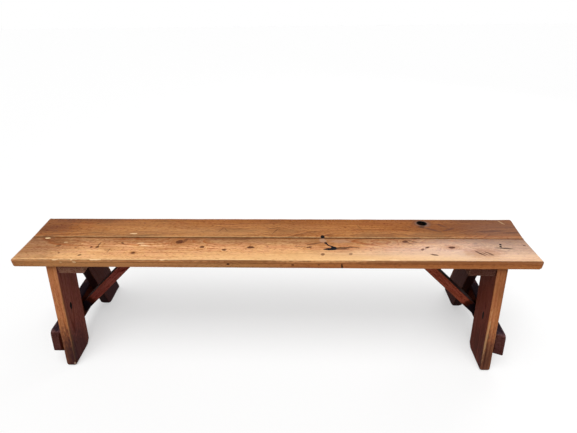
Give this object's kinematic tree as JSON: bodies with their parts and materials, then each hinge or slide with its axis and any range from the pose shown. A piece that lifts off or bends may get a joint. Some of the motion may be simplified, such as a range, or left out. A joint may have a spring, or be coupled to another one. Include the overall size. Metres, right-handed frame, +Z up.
{
  "type": "wooden bench",
  "caption": "Long plank bench on splayed board legs, with low foot rails outside the legs and diagonal braces under the seat.",
  "frame": {"origin": "on the floor, under the middle of the seat", "axes": "+X along the seat towards its right end, +Y from the front edge to the back, +Z up"},
  "size_m": [1.8292, 0.4442, 0.448],
  "materials": {
    "front_plank_pine": "worn wax",
    "rear_plank_pine": "worn wax",
    "leg_pine": "worn varnish",
    "rail_pine": "worn varnish",
    "brace_pine": "worn varnish",
    "cleat_deal": "bare, sawn",
    "screw_steel": "dulled"
  },
  "bodies": {
    "root": {"front_seat_plank": "front_plank_pine", "rear_seat_plank": "rear_plank_pine", "left_front_leg": "leg_pine", "left_rear_leg": "leg_pine", "left_seat_cleat": "cleat_deal", "left_foot_rail": "rail_pine", "left_brace": "brace_pine", "right_front_leg": "leg_pine", "right_rear_leg": "leg_pine", "right_seat_cleat": "cleat_deal", "right_foot_rail": "rail_pine", "right_brace": "brace_pine", "left_leg_screws": "screw_steel", "left_rail_screws": "screw_steel", "left_seat_screws": "screw_steel", "left_brace_foot_screw": "screw_steel", "left_brace_head_screws": "screw_steel", "right_leg_screws": "screw_steel", "right_rail_screws": "screw_steel", "right_seat_screws": "screw_steel", "right_brace_foot_screw": "screw_steel", "right_brace_head_screws": "screw_steel"}
  },
  "joints": []
}
